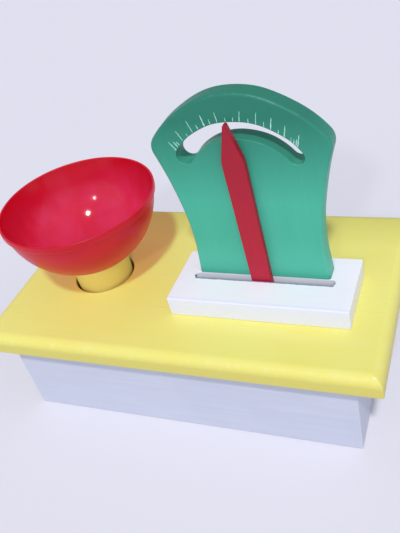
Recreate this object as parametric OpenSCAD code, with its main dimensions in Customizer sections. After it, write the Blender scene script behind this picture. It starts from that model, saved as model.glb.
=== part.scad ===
// Wooden play scale. A red bowl stands on a sprung post in a yellow board. Pressing it down
// tips a flat red pointer across a green dial board. The white box below hides the lift.
// X runs along the width, Y towards the back and Z up. The origin is under the middle.

/* [Board and box] */
// Width of the yellow top board
board_w = 320; // [310:1:340]
// Depth of the yellow top board
board_d = 182; // [176:1:200]
// Thickness of the top board
board_t = 15.5; // [14:0.5:18]
// Radius routed along the top edges of the board
board_edge_r = 8; // [4:0.5:9]
// Width of the white box
box_w = 280; // [278:1:300]
// Depth of the white box
box_d = 161; // [160:1:170]
// Height of the white box
box_h = 72.5; // [72:0.5:80]
// Thickness of the box walls
wall_t = 12; // [10:0.5:12]
// Thickness of the bottom panel
bottom_t = 9; // [8:0.5:10]

/* [Bowl and post] */
// Middle of the bowl, from the middle of the board, to the left
bowl_left = 85.7; // [84:0.1:87]
// Middle of the bowl, from the middle of the board, to the front
bowl_front = 4.3; // [2:0.1:6]
// Outer radius of the round bowl
bowl_r = 61.6; // [56:0.1:63]
// Wall thickness of the bowl
bowl_wall = 2.2; // [1.5:0.1:4]
// Gap between the bowl and the board at rest
bowl_gap = 16.2; // [16:0.1:22]
// How far the rim band stands out from the bowl
rim_proud = 1.5; // [0.5:0.1:2]
// Thickness of the lip at the top of the rim
lip_t = 1.6; // [1.2:0.1:2.2]
// Height of the rim band
rim_h = 5; // [3:0.5:8]
// Radius of the post
post_r = 23.5; // [18:0.5:24]
// Gap round the post in the board
post_gap = 2; // [1:0.1:3]
// Travel of the bowl each way from rest
travel = 14.5; // [8:0.5:14.5]

/* [Slotted block] */
// Width of the white block
block_w = 138.4; // [130:0.1:142]
// Depth of the white block
block_d = 57.5; // [54:0.1:62]
// Height of the white block
block_h = 16.2; // [14:0.1:20]
// Middle of the block, from the middle of the board, to the right
block_right = 63.1; // [62:0.1:64]
// Front face of the block, from the middle of the board, to the front
block_front = 46.4; // [45:0.1:48]
// Length of the slot for the pointer
slot_l = 109; // [100:1:112]

/* [Dial board] */
// Thickness of the dial board
dial_t = 14.4; // [12:0.1:16]
// Height of the dial board above the block
dial_h = 148.9; // [147:0.1:150]
// Half of the width at the foot
foot_half = 51.2; // [50:0.1:52]
// Half of the width at the waist
waist_half = 49.3; // [48:0.1:50]
// Height of the waist above the block
waist_z = 26.1; // [22:0.1:32]
// Radius of the hollow flanks
flank_r = 247; // [235:1:260]
// Radius of the round ears
ear_r = 12.2; // [11:0.1:13]
// Height of the ears above the block
ear_z = 109.4; // [108:0.1:111]
// Radius of the crown, the rounder middle of the top edge
crown_r = 61.5; // [60:0.5:66]
// Angle from the middle to each end of the crown, in degrees
crown_angle = 23; // [20:0.5:26]
// Front face of the dial board, from the middle of the board, to the front
dial_front = 14; // [13:0.1:15]

/* [Arc window] */
// Radius of the window's upper edge
window_r1 = 54.4; // [53:0.1:55]
// Radius of the window's lower edge
window_r0 = 43.7; // [42:0.1:45]
// Middle of the upper edge's arc, from the middle of the board, to the right
window_right = 61.2; // [60:0.1:63]
// Height of the middle of the upper edge's arc, above the block
window_z = 74.5; // [73:0.1:76]
// Middle of the lower edge's arc, to the right of the upper one's
lower_arc_right = 0.8; // [0:0.1:2]
// Middle of the lower edge's arc, below the upper one's
lower_arc_down = 1.6; // [0:0.1:3]
// Angle from upright to the window's left end, in degrees
window_left_angle = 52; // [40:0.1:54]
// Angle from upright to the window's right end, in degrees
window_right_angle = 55.1; // [40:0.1:56]

/* [Pointer] */
// Thickness of the pointer
pointer_t = 5; // [4:0.1:5]
// Half of the width where the pointer leaves the block
pointer_foot_half = 7.8; // [6:0.1:9]
// Half of the width at the shoulders
pointer_half = 8.1; // [7:0.1:10]
// Height of the tip above the board
tip_h = 145.8; // [140:0.1:150]
// Slope of each side of the point, from upright, in degrees
point_slope = 14.6; // [13:0.1:18]
// Radius of the rounded shoulders below the point
shoulder_r = 30; // [15:1:40]
// Lean of the pointer to the left at rest, in degrees
pointer_lean = 1.6; // [0:0.1:3]
// Pivot of the pointer, from the middle of the board, to the right
pivot_right = 63.6; // [62:0.1:64]

/* [Lift] */
// Distance from the pivot to the pin that drives the crank
crank_l = 62; // [60:0.5:64]
// Thickness of the crank
crank_t = 6; // [5:0.5:6]
// Thickness of the lift plate
lift_t = 12; // [10:0.5:14]
// Distance of each guide rod from the post's axis
rod_spread = 37; // [34:0.5:38]
// Radius of the guide rods and of the axle
rod_r = 3; // [2.5:0.1:3.5]
// Radius of the spring's middle line
spring_r = 6.6; // [6.4:0.1:7]
// Radius of the spring wire
wire_r = 0.6; // [0.4:0.05:0.7]
// Turns of each spring
spring_turns = 6; // [5:1:8]

/* [Hidden] */
$fn = 96;

// Colours of the paint and the bare materials
yellow = [0.91, 0.86, 0.45];
white = [0.92, 0.93, 0.96];
green = [0.25, 0.62, 0.52];
red = [0.68, 0.10, 0.20];
bare_wood = [0.80, 0.66, 0.45];
steel = [0.72, 0.73, 0.75];
brass = [0.80, 0.65, 0.35];
rubber = [0.15, 0.15, 0.16];
felt = [0.45, 0.44, 0.42];

// Clearances
run_gap = 0.05;
side_gap = 0.6;
hub_gap = 0.4;
stop_gap = 0.5;
pin_gap = 0.4;

// How far a cutting shape runs past the face that it opens
cut = 1;

// Heights
board_top = box_h + board_t;
block_top = board_top + block_h;
pad_t = 3;
lift_top = box_h - pad_t - travel - stop_gap;
lift_bottom = lift_top - lift_t;
pivot_z = lift_top - lift_t / 2;

// Inside of the box
inner_x = box_w / 2 - wall_t;
inner_y = box_d / 2 - wall_t;
cleat = 16;
batten_gap = 1;
corner_block_h = 40;

// Bowl and post
bowl_x = -bowl_left;
bowl_y = -bowl_front;
bowl_centre_z = board_top + bowl_gap + bowl_r;
rim_drop = 1.2;
rim_z = bowl_centre_z - rim_drop;
hole_r = post_r + post_gap;
rods_y = [bowl_y - rod_spread, bowl_y + rod_spread];
rod_foot_seat = 6;
rod_top_seat = 8;
stop_spread = 33;
stops_x = [bowl_x - stop_spread, bowl_x + stop_spread];

// Dial, block and pointer, front to back
dial_x = 62;
dial_y0 = -dial_front;
dial_y1 = dial_y0 + dial_t;
pointer_y1 = dial_y0 - side_gap;
pointer_y0 = pointer_y1 - pointer_t;
slot_y0 = pointer_y0 - side_gap;
slot_w = dial_y0 - slot_y0;
slot_x = 62.5;
crank_y1 = pointer_y1 + crank_t;
crank_mid_y = pointer_y1 + crank_t / 2;
block_y0 = -block_front;

// Hinge of the pointer
pin_r = 2.5;
pin_half = 12;
pin_x = pivot_right - crank_l;
washer_t = 2;
washer_r = 7;
bracket_t = 10;
bracket_half = 18;
bracket_r = 13;
bracket_shoulder = 12;
bracket_neck_half = 11;
bracket_neck_drop = 4;
front_bracket_y1 = pointer_y0 - hub_gap - washer_t;
rear_bracket_y0 = crank_y1 + hub_gap + washer_t;
collar_t = 3;
collar_r = 6;
bush_r = 5;
flange_r = 8;
flange_t = 1.5;

// Crank
hub_r = 11;
cheek_half_w = 7.5;
cheek_half_h = 17;
arm_half = 7;
arm_end_r = 8;
pin_slot_in = 3;
pin_slot_out = 2;

// Lift plate
lift_wall_gap = 3;
lift_right = 40;
lift_margin = 8;
fork_half = 14;
fork_past_pin = 7;
notch_before_pin = 11;
notch_l = 30;

// Springs and stops
spring_washer_t = 1.5;
spring_washer_r = 9;
spring_z0 = bottom_t + spring_washer_t;
bumper_r = 7;
pad_r = 6;

// Wood screws
screw_r = 2;
head_r = 4;
head_h = 2.4;
screw_point_r = 0.3;
screw_bite = 10;
bracket_screw_bite = 16;
dial_screw_l = 58;
bottom_screw_l = 28;
post_screw_l = 34;

// Small screws through the crank
crank_screw_r = 1.4;
crank_screw_short = 1.5;
crank_head_r = 2.6;
crank_head_h = 1.4;

// Dowels between the block and the dial
dowel_r = 3;
dowel_below = 10;
dowel_l = 24;

// Distance of each screw and dowel from the middle of its group
dial_screw_spread = 32;
dial_dowel_spread = 44;
block_screw_x = 58;
block_screw_y = 18;
board_screw_spread = 90;
bracket_screw_spread = 11;
post_screw_spread = 12;
crank_screw_spread = 13;

// Places of the screws, as [x, y]
dial_screws_at = [for (s = [-1, 1])
    [dial_x + s * dial_screw_spread, (dial_y0 + dial_y1) / 2]];
dial_dowels_at = [for (s = [-1, 1])
    [dial_x + s * dial_dowel_spread, (dial_y0 + dial_y1) / 2]];
block_screws_at = [for (sx = [-1, 1], sy = [-1, 1])
    [block_right + sx * block_screw_x, block_y0 + block_d / 2 + sy * block_screw_y]];
board_screws_at = [for (place = [-1, 0, 1], side = [-1, 1])
    [place * board_screw_spread, side * (inner_y - cleat / 2)]];
corners_at = [for (sx = [-1, 1], sy = [-1, 1])
    [sx * (inner_x - cleat / 2), sy * (inner_y - cleat / 2)]];
bracket_screws_at = [for (s = [-1, 1],
    y = [front_bracket_y1 - bracket_t / 2, rear_bracket_y0 + bracket_t / 2])
    [pivot_right + s * bracket_screw_spread, y]];
post_screws_at = [for (s = [-1, 1]) [bowl_x + s * post_screw_spread, bowl_y]];

// Points along an arc, from angle a0 to a1 in degrees
function arc(centre, r, a0, a1, n = 12) =
    [for (i = [0 : n]) let (a = a0 + (a1 - a0) * i / n)
        [centre[0] + r * cos(a), centre[1] + r * sin(a)]];

// The points with each one that repeats the point before it left out
function without_doubles(points) =
    [for (i = [0 : len(points) - 1])
        let (before = points[(i + len(points) - 1) % len(points)])
        if (norm(points[i] - before) > 0.001) points[i]];

// ---- Shared shapes ----

// A wood screw with its head's face at z = 0 and its point upwards
module screw(length) {
    cylinder(r1 = head_r, r2 = screw_r, h = head_h);
    cylinder(r = screw_r, h = length - screw_r);
    translate([0, 0, length - screw_r])
        cylinder(r1 = screw_r, r2 = screw_point_r, h = screw_r);
}

// Copies of a screw that point up from height z
module screws_up(places, z, length) {
    for (p = places)
        translate([p[0], p[1], z]) screw(length);
}

// Copies of a screw that point down from height z
module screws_down(places, z, length) {
    for (p = places)
        translate([p[0], p[1], z]) mirror([0, 0, 1]) screw(length);
}

module dial_screw_set() screws_up(dial_screws_at, box_h, dial_screw_l);
module block_screw_set() screws_up(block_screws_at, box_h, board_t + screw_bite);
module board_screw_set() screws_up(board_screws_at, box_h - cleat, cleat + screw_bite);
module bottom_screw_set() screws_up(corners_at, 0, bottom_screw_l);
module bracket_screw_set()
    screws_down(bracket_screws_at, board_top, board_t + bracket_screw_bite);
module post_screw_set() screws_up(post_screws_at, lift_bottom, post_screw_l);

// The screws that hold the crank on the pointer, along Y
module crank_screw_set() {
    for (s = [-1, 1])
        translate([pivot_right, crank_y1, pivot_z + s * crank_screw_spread]) rotate([90, 0, 0]) {
            cylinder(r1 = crank_head_r, r2 = crank_screw_r, h = crank_head_h);
            cylinder(r = crank_screw_r, h = crank_t + pointer_t - crank_screw_short);
        }
}

// A round bar along Y between two depths
module bar_y(x, z, r, y0, y1) {
    translate([x, y1, z]) rotate([90, 0, 0]) cylinder(r = r, h = y1 - y0);
}

// A flat shape drawn in X and Z, given thickness along Y
module plate_y(y0, y1) {
    translate([0, y1, 0]) rotate([90, 0, 0]) linear_extrude(y1 - y0) children();
}

// A rectangle with quarter rounds at its two upper corners
module round_top(w, h, r) {
    intersection() {
        translate([-w / 2, 0]) square([w, h]);
        union() {
            translate([-w / 2, 0]) square([w, h - r]);
            translate([-w / 2 + r, 0]) square([w - 2 * r, h]);
            for (s = [-1, 1])
                translate([s * (w / 2 - r), h - r]) circle(r);
        }
    }
}

// A slot with round ends, seen from above
module slot_shape() {
    end_x = slot_l / 2 - slot_w / 2;
    translate([slot_x, (slot_y0 + dial_y0) / 2]) {
        square([2 * end_x, slot_w], center = true);
        for (s = [-1, 1])
            translate([s * end_x, 0]) circle(slot_w / 2);
    }
}

// ---- Board and box ----

module top_board() color(yellow) difference() {
    translate([0, 0, box_h]) intersection() {
        rotate([90, 0, 0]) linear_extrude(board_d, center = true)
            round_top(board_w, board_t, board_edge_r);
        rotate([90, 0, 90]) linear_extrude(board_w, center = true)
            round_top(board_d, board_t, board_edge_r);
    }
    translate([bowl_x, bowl_y, box_h - cut]) cylinder(r = hole_r, h = board_t + 2 * cut);
    translate([0, 0, box_h - cut]) linear_extrude(board_t + 2 * cut) slot_shape();
    for (y = rods_y)
        translate([bowl_x, y, box_h - cut]) cylinder(r = rod_r, h = rod_top_seat + cut);
    dial_screw_set();
    block_screw_set();
    board_screw_set();
    bracket_screw_set();
}

// A panel across the front or back
module long_panel(side) {
    y = side * (box_d / 2 - wall_t / 2);
    translate([0, y, box_h / 2]) cube([box_w, wall_t, box_h], center = true);
}

// A panel between the front and the back
module short_panel(side) {
    x = side * (box_w / 2 - wall_t / 2);
    translate([x, 0, box_h / 2]) cube([wall_t, 2 * inner_y, box_h], center = true);
}

module front_panel() color(white) long_panel(-1);
module back_panel() color(white) long_panel(1);
module left_panel() color(white) short_panel(-1);
module right_panel() color(white) short_panel(1);

module bottom_panel() color(bare_wood) difference() {
    translate([0, 0, bottom_t / 2]) cube([2 * inner_x, 2 * inner_y, bottom_t], center = true);
    for (y = rods_y)
        translate([bowl_x, y, bottom_t - rod_foot_seat])
            cylinder(r = rod_r, h = rod_foot_seat + cut);
    bottom_screw_set();
}

module corner_blocks() color(bare_wood) difference() {
    for (p = corners_at)
        translate([p[0], p[1], bottom_t + corner_block_h / 2])
            cube([cleat, cleat, corner_block_h], center = true);
    bottom_screw_set();
}

// A batten under the board along the front or back panel
module batten(side) {
    difference() {
        translate([0, side * (inner_y - cleat / 2), box_h - cleat / 2])
            cube([2 * (inner_x - batten_gap), cleat, cleat], center = true);
        board_screw_set();
    }
}

module front_cleat() color(bare_wood) batten(-1);
module back_cleat() color(bare_wood) batten(1);

module board_screws() color(steel) board_screw_set();
module bottom_screws() color(steel) bottom_screw_set();

// ---- Block and dial ----

module slot_block() color(white) difference() {
    translate([block_right - block_w / 2, block_y0, board_top]) cube([block_w, block_d, block_h]);
    translate([0, 0, board_top - cut]) linear_extrude(block_h + 2 * cut) slot_shape();
    dial_screw_set();
    block_screw_set();
    dial_dowel_set();
}

module block_screws() color(steel) block_screw_set();
module dial_screws() color(steel) dial_screw_set();

module dial_dowel_set() {
    for (p = dial_dowels_at)
        translate([p[0], p[1], block_top - dowel_below]) cylinder(r = dowel_r, h = dowel_l);
}

module dial_dowels() color(bare_wood) dial_dowel_set();

// Half of the dial's outline, from the foot up to the crown, for the right side. The brow is the
// flatter arc between the crown and the ear, and meets both smoothly
ear_x = waist_half + flank_r - sqrt(pow(flank_r + ear_r, 2) - pow(ear_z - waist_z, 2));
flank_angle = asin((ear_z - waist_z) / (flank_r + ear_r));
crown_z = dial_h - crown_r;
crown_end = [sin(crown_angle), cos(crown_angle)];
ear_from_crown = [ear_x, ear_z - crown_z];
ear_along = ear_from_crown * crown_end;
brow_r = (pow(ear_r, 2) - ear_from_crown * ear_from_crown + 2 * crown_r * ear_along
    - pow(crown_r, 2)) / (2 * (ear_along - crown_r + ear_r));
brow_at = [0, crown_z] + (crown_r - brow_r) * crown_end;
ear_angle = atan2(ear_z - brow_at[1], ear_x - brow_at[0]);
dial_half = concat(
    [[foot_half, 0]],
    arc([waist_half + flank_r, waist_z], flank_r, 180, 180 - flank_angle, 14),
    arc([ear_x, ear_z], ear_r, -flank_angle, ear_angle, 12),
    arc(brow_at, brow_r, ear_angle, 90 - crown_angle, 12),
    arc([0, crown_z], crown_r, 90 - crown_angle, 90, 10));
dial_other_half = [for (i = [len(dial_half) - 1 : -1 : 0]) [-dial_half[i][0], dial_half[i][1]]];

// The arc window, drawn about the middle of its upper arc. Each round end meets both arcs
lower_at = [lower_arc_right, -lower_arc_down];
window_left_end = 90 + window_left_angle;
window_right_end = 90 - window_right_angle;
function end_r(a) = let (along = -lower_at * [cos(a), sin(a)])
    (lower_at * lower_at + 2 * window_r1 * along + pow(window_r1, 2) - pow(window_r0, 2))
    / (2 * (window_r0 + window_r1 + along));
function end_at(a) = (window_r1 - end_r(a)) * [cos(a), sin(a)];
function end_from_lower(a) = let (d = end_at(a) - lower_at) atan2(d[1], d[0]);

module window_shape() {
    left = window_left_end;
    right = window_right_end;
    polygon(without_doubles(concat(
        arc([0, 0], window_r1, left, right, 24),
        arc(end_at(right), end_r(right), right, end_from_lower(right) - 180, 8),
        arc(lower_at, window_r0, end_from_lower(right), end_from_lower(left), 24),
        arc(end_at(left), end_r(left), end_from_lower(left) + 180, left, 8))));
}

module dial_board() color(green) difference() {
    translate([dial_x, 0, block_top]) plate_y(dial_y0, dial_y1)
        polygon(without_doubles(concat(dial_half, dial_other_half)));
    translate([window_right, 0, block_top + window_z]) plate_y(dial_y0 - cut, dial_y1 + cut)
        window_shape();
    dial_screw_set();
    dial_dowel_set();
}

// ---- Pointer, crank and their hinge ----

// One hanger under the board with a hole for the axle
module bracket(y0) {
    difference() {
        union() {
            bar_y(pivot_right, pivot_z, bracket_r, y0, y0 + bracket_t);
            plate_y(y0, y0 + bracket_t) translate([pivot_right, 0])
                polygon([[-bracket_half, box_h], [-bracket_half, box_h - bracket_shoulder],
                    [-bracket_neck_half, pivot_z - bracket_neck_drop],
                    [bracket_neck_half, pivot_z - bracket_neck_drop],
                    [bracket_half, box_h - bracket_shoulder], [bracket_half, box_h]]);
        }
        bar_y(pivot_right, pivot_z, rod_r, y0 - cut, y0 + bracket_t + cut);
        bracket_screw_set();
    }
}

module bracket_front() color(bare_wood) bracket(front_bracket_y1 - bracket_t);
module bracket_rear() color(bare_wood) bracket(rear_bracket_y0);
module bracket_screws() color(steel) bracket_screw_set();

axle_y0 = front_bracket_y1 - bracket_t - collar_t;
axle_y1 = rear_bracket_y0 + bracket_t + collar_t;

module axle() color(steel) bar_y(pivot_right, pivot_z, rod_r, axle_y0, axle_y1);

// A ring on the axle
module axle_ring(r, y0, y1) {
    difference() {
        bar_y(pivot_right, pivot_z, r, y0, y1);
        bar_y(pivot_right, pivot_z, rod_r, y0 - cut, y1 + cut);
    }
}

module axle_collars() color(steel) {
    axle_ring(collar_r, axle_y0, axle_y0 + collar_t);
    axle_ring(collar_r, axle_y1 - collar_t, axle_y1);
}

module axle_washers() color(brass) {
    axle_ring(washer_r, front_bracket_y1, front_bracket_y1 + washer_t);
    axle_ring(washer_r, rear_bracket_y0 - washer_t, rear_bracket_y0);
}

module hub_bush() color(brass) difference() {
    bar_y(pivot_right, pivot_z, bush_r, pointer_y0, crank_y1);
    bar_y(pivot_right, pivot_z, rod_r + run_gap, pointer_y0 - cut, crank_y1 + cut);
}

// The pointer's outline about its pivot: a lath that widens a little up to its rounded
// shoulders, and then closes in two straight sides to a rounded tip
tip_r = 1.3;
tip_rise = board_top + tip_h - pivot_z;
foot_rise = block_top - pivot_z;
tail_drop = 10;
point_w = pointer_half - shoulder_r * (1 - cos(point_slope)) - tip_r * cos(point_slope);
shoulder_rise = tip_rise - tip_r + tip_r * sin(point_slope) - point_w / tan(point_slope)
    - shoulder_r * sin(point_slope);

module pointer_shape() {
    right = concat(
        [[pointer_foot_half, -tail_drop], [pointer_foot_half, foot_rise]],
        arc([pointer_half - shoulder_r, shoulder_rise], shoulder_r, 0, point_slope, 8),
        arc([0, tip_rise - tip_r], tip_r, point_slope, 90, 6));
    left = [for (i = [len(right) - 1 : -1 : 0]) [-right[i][0], right[i][1]]];
    polygon(without_doubles(concat(right, left)));
    translate([0, -tail_drop]) circle(pointer_foot_half);
}

module pointer() color(red) difference() {
    translate([pivot_right, 0, pivot_z]) rotate([0, -pointer_lean, 0])
        plate_y(pointer_y0, pointer_y1) pointer_shape();
    bar_y(pivot_right, pivot_z, bush_r, pointer_y0 - cut, pointer_y1 + cut);
    crank_screw_set();
}

// The crank: a hub behind the pointer and an arm that reaches left to the lift's pin
module crank() color(bare_wood) difference() {
    plate_y(pointer_y1, crank_y1) {
        translate([pivot_right, pivot_z]) circle(hub_r);
        translate([pivot_right - cheek_half_w, pivot_z - cheek_half_h])
            square([2 * cheek_half_w, 2 * cheek_half_h]);
        translate([pin_x, pivot_z - arm_half]) square([crank_l, 2 * arm_half]);
        translate([pin_x, pivot_z]) circle(arm_end_r);
    }
    plate_y(pointer_y1 - cut, crank_y1 + cut) {
        translate([pin_x - pin_slot_in, pivot_z - pin_r - pin_gap])
            square([pin_slot_in + pin_slot_out, 2 * (pin_r + pin_gap)]);
        for (dx = [-pin_slot_in, pin_slot_out])
            translate([pin_x + dx, pivot_z]) circle(pin_r + pin_gap);
    }
    bar_y(pivot_right, pivot_z, bush_r, pointer_y1 - cut, crank_y1 + cut);
    crank_screw_set();
}

module crank_screws() color(steel) crank_screw_set();

// ---- Bowl, post and lift ----

// The bowl's mouth opens out towards a thin lip
mouth_r = bowl_r + rim_proud - lip_t;
mouth_foot_r = sqrt(pow(bowl_r - bowl_wall, 2) - pow(rim_h + rim_drop, 2));

module bowl() color(red) difference() {
    union() {
        intersection() {
            translate([bowl_x, bowl_y, bowl_centre_z]) sphere(bowl_r);
            translate([bowl_x, bowl_y, board_top])
                cylinder(r = bowl_r + cut, h = rim_z - board_top);
        }
        translate([bowl_x, bowl_y, rim_z - rim_h]) cylinder(r = bowl_r + rim_proud, h = rim_h);
    }
    translate([bowl_x, bowl_y, bowl_centre_z]) sphere(bowl_r - bowl_wall);
    translate([bowl_x, bowl_y, rim_z - rim_h])
        cylinder(r1 = mouth_foot_r, r2 = mouth_r, h = rim_h);
    translate([bowl_x, bowl_y, rim_z]) cylinder(r = mouth_r, h = 2 * rim_drop);
}

module post() color(yellow) difference() {
    translate([bowl_x, bowl_y, lift_top])
        cylinder(r = post_r, h = bowl_centre_z - bowl_r / 2 - lift_top);
    translate([bowl_x, bowl_y, bowl_centre_z]) sphere(bowl_r);
    post_screw_set();
}

module post_screws() color(steel) post_screw_set();

// The lift plate: a square under the post and an arm with a notch for the crank
module lift_plate() color(bare_wood) {
    plate_x0 = -inner_x + lift_wall_gap;
    plate_x1 = bowl_x + lift_right;
    plate_y0 = bowl_y - rod_spread - lift_margin;
    arm_x1 = pin_x + fork_past_pin;
    difference() {
        translate([0, 0, lift_bottom]) linear_extrude(lift_t) {
            translate([plate_x0, plate_y0])
                square([plate_x1 - plate_x0, 2 * (rod_spread + lift_margin)]);
            translate([plate_x1 - cut, crank_mid_y - fork_half])
                square([arm_x1 - plate_x1 + cut, 2 * fork_half]);
        }
        translate([pin_x - notch_before_pin, pointer_y1 - side_gap, lift_bottom - cut])
            cube([notch_l, crank_t + 2 * side_gap, lift_t + 2 * cut]);
        bar_y(pin_x, pivot_z, pin_r, crank_mid_y - pin_half, crank_mid_y + pin_half);
        for (y = rods_y)
            translate([bowl_x, y, lift_bottom - cut]) cylinder(r = bush_r, h = lift_t + 2 * cut);
        post_screw_set();
    }
}

module link_pin() color(steel)
    bar_y(pin_x, pivot_z, pin_r, crank_mid_y - pin_half, crank_mid_y + pin_half);

module guide_bushes() color(brass) {
    for (y = rods_y)
        translate([bowl_x, y, lift_bottom]) difference() {
            union() {
                cylinder(r = bush_r, h = lift_t);
                translate([0, 0, lift_t]) cylinder(r = flange_r, h = flange_t);
            }
            translate([0, 0, -cut]) cylinder(r = rod_r + run_gap, h = lift_t + flange_t + 2 * cut);
        }
}

module guide_rods() color(steel) {
    for (y = rods_y)
        translate([bowl_x, y, bottom_t - rod_foot_seat])
            cylinder(r = rod_r, h = box_h + rod_top_seat - bottom_t + rod_foot_seat);
}

// One ring of points round the spring's wire, at a fraction t of its length
spring_sides = 8;
spring_steps = 16 * spring_turns;
spring_h = lift_bottom - spring_z0 - 2 * wire_r;
function wire_ring(t) = [for (k = [0 : spring_sides - 1])
    let (a = 360 * spring_turns * t, b = 360 * k / spring_sides,
        r = spring_r + wire_r * cos(b))
        [r * cos(a), r * sin(a), wire_r * (1 + sin(b)) + spring_h * t]];

// A compression spring that stands on its washer and carries the lift plate
module spring(y) {
    points = [for (i = [0 : spring_steps]) each wire_ring(i / spring_steps)];
    last = spring_sides * spring_steps;
    sides = [for (i = [0 : spring_steps - 1], k = [0 : spring_sides - 1])
        let (n = (k + 1) % spring_sides, p = spring_sides * i, q = p + spring_sides)
            [p + k, q + k, q + n, p + n]];
    start = [for (k = [0 : spring_sides - 1]) k];
    end = [for (k = [spring_sides - 1 : -1 : 0]) last + k];
    translate([bowl_x, y, spring_z0])
        polyhedron(points, concat([start], sides, [end]), convexity = 8);
}

module spring_front() color(steel) spring(rods_y[0]);
module spring_rear() color(steel) spring(rods_y[1]);

module spring_washers() color(steel) {
    for (y = rods_y)
        translate([bowl_x, y, bottom_t]) difference() {
            cylinder(r = spring_washer_r, h = spring_washer_t);
            translate([0, 0, -cut]) cylinder(r = rod_r, h = spring_washer_t + 2 * cut);
        }
}

module stop_bumpers() color(rubber) {
    for (x = stops_x)
        translate([x, bowl_y, bottom_t])
            cylinder(r = bumper_r, h = lift_bottom - travel - stop_gap - bottom_t);
}

module stop_pads() color(felt) {
    for (x = stops_x)
        translate([x, bowl_y, box_h - pad_t]) cylinder(r = pad_r, h = pad_t);
}

top_board();
front_panel();
back_panel();
left_panel();
right_panel();
bottom_panel();
corner_blocks();
front_cleat();
back_cleat();
slot_block();
dial_board();
dial_dowels();
dial_screws();
block_screws();
board_screws();
bottom_screws();
bracket_front();
bracket_rear();
bracket_screws();
axle();
axle_collars();
axle_washers();
hub_bush();
pointer();
crank();
crank_screws();
post();
post_screws();
bowl();
lift_plate();
link_pin();
guide_bushes();
guide_rods();
spring_front();
spring_rear();
spring_washers();
stop_bumpers();
stop_pads();
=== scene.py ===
"""A wooden play scale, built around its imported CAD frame. All lengths are in metres."""

import math
import random

import bmesh
import bpy
from mathutils import Matrix, Vector, noise
from mathutils.geometry import delaunay_2d_cdt


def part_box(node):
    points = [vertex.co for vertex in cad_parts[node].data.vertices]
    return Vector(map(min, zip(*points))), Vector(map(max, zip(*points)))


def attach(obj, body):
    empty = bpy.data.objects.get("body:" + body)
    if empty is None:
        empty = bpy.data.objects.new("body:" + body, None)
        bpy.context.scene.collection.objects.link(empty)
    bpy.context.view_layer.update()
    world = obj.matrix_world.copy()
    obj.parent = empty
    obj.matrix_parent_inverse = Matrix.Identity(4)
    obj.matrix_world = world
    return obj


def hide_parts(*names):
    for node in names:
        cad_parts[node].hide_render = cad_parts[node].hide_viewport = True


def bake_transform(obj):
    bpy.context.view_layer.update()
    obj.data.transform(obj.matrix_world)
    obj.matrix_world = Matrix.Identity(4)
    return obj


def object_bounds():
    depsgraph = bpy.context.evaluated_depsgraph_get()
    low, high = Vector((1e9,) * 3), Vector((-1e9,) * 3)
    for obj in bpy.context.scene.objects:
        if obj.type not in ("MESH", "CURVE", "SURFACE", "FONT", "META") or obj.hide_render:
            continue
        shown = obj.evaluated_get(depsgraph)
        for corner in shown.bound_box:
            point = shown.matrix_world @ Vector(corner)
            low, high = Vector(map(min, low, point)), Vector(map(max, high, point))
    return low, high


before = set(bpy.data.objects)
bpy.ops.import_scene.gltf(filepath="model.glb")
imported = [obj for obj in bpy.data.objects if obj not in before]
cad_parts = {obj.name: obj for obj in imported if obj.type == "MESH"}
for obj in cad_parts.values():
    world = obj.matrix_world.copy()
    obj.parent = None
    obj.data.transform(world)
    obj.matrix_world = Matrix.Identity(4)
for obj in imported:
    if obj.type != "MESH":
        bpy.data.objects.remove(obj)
cad_lo, cad_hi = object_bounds()

MM = 0.001
random.seed(7)


# ---- Camera, light and floor ----

# The camera's direction in degrees, its place, and its lens and sensor in millimetres.
AZIMUTH = 26.81
ELEVATION = 36.77
ROLL = -14.02
CAMERA_AT = Vector((0.2149, -0.3691, 0.4228))
LENS = 44.97
SENSOR = 36.0
SHIFT_X = -0.0469
SHIFT_Y = -0.0272

# Which way each lamp is, seen from the object.
FROM_KEY = (0.195, -0.488, 0.851)
FROM_SECOND = (0.074, -0.81, 0.581)
FROM_WINDOW = (-0.45, -0.82, 0.35)
FROM_FILL = (0.85, -0.25, 0.45)

# How wide the key looks, in degrees. How far the floor reaches, and how far it lies below the object.
KEY_ANGLE = 4.5
FLOOR_REACH = 5.0
FLOOR_DROP = 0.2 * MM


def camera():
    """The photograph's viewpoint: from the front right, above, and rolled."""
    data = bpy.data.cameras.new("view")
    data.lens = LENS
    data.sensor_width = SENSOR
    data.shift_x = SHIFT_X
    data.shift_y = SHIFT_Y
    data.clip_start = 0.01
    data.clip_end = 50
    obj = bpy.data.objects.new("view", data)
    bpy.context.scene.collection.objects.link(obj)
    az, el, roll = (math.radians(a) for a in (AZIMUTH, ELEVATION, ROLL))
    back = Vector((math.sin(az) * math.cos(el), -math.cos(az) * math.cos(el), math.sin(el)))
    right = (-back).cross(Vector((0, 0, 1))).normalized()
    up = right.cross(-back)
    right, up = (
        math.cos(roll) * right + math.sin(roll) * up,
        -math.sin(roll) * right + math.cos(roll) * up,
    )
    obj.matrix_world = Matrix.Translation(CAMERA_AT) @ Matrix((right, up, back)).transposed().to_4x4()
    bpy.context.scene.camera = obj


def lamp(name, shines_from, angle, power, colour):
    """A far lamp, so its light is the same everywhere. It is as wide in degrees as angle."""
    data = bpy.data.lights.new(name, "SUN")
    data.angle = math.radians(angle)
    data.energy = power
    data.color = colour
    obj = bpy.data.objects.new(name, data)
    bpy.context.scene.collection.objects.link(obj)
    obj.rotation_mode = "QUATERNION"
    obj.rotation_quaternion = (-Vector(shines_from)).to_track_quat("-Z", "Y")
    return obj


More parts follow.
